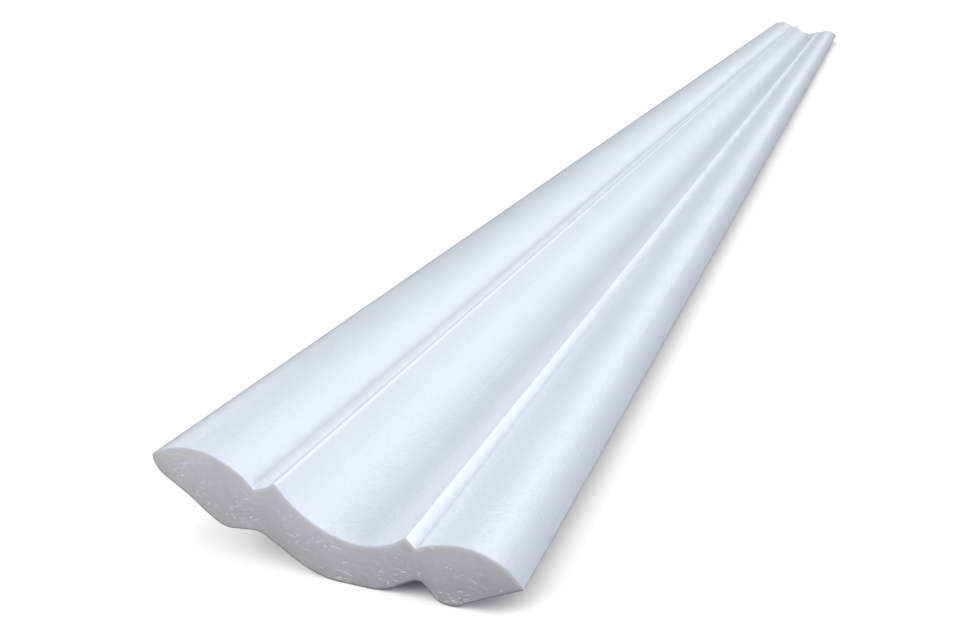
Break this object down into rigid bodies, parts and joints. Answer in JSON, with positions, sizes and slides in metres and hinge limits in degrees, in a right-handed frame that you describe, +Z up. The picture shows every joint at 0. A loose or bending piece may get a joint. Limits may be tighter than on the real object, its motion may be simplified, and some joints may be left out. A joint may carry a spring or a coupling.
{
  "type": "crown moulding length",
  "caption": "Straight length of white foam crown moulding: ovolo, step, cove, fillet and ovolo on the face, glue faces for wall and ceiling at the edges, both ends cut square.",
  "frame": {"origin": "middle of the bounding box, on the floor that the piece lies on", "axes": "+Y along the length, away from the cut end nearer the camera; +Z up, out of the moulded face as the piece lies on its back; +X across, from the ceiling edge to the wall edge"},
  "size_m": [0.1194, 2, 0.0352],
  "materials": {
    "white_foam": "fine-celled extruded polystyrene foam with a smooth satin skin on the moulded face, matt where it is cut"
  },
  "bodies": {
    "root": {"crown_moulding": "white_foam"}
  },
  "joints": []
}
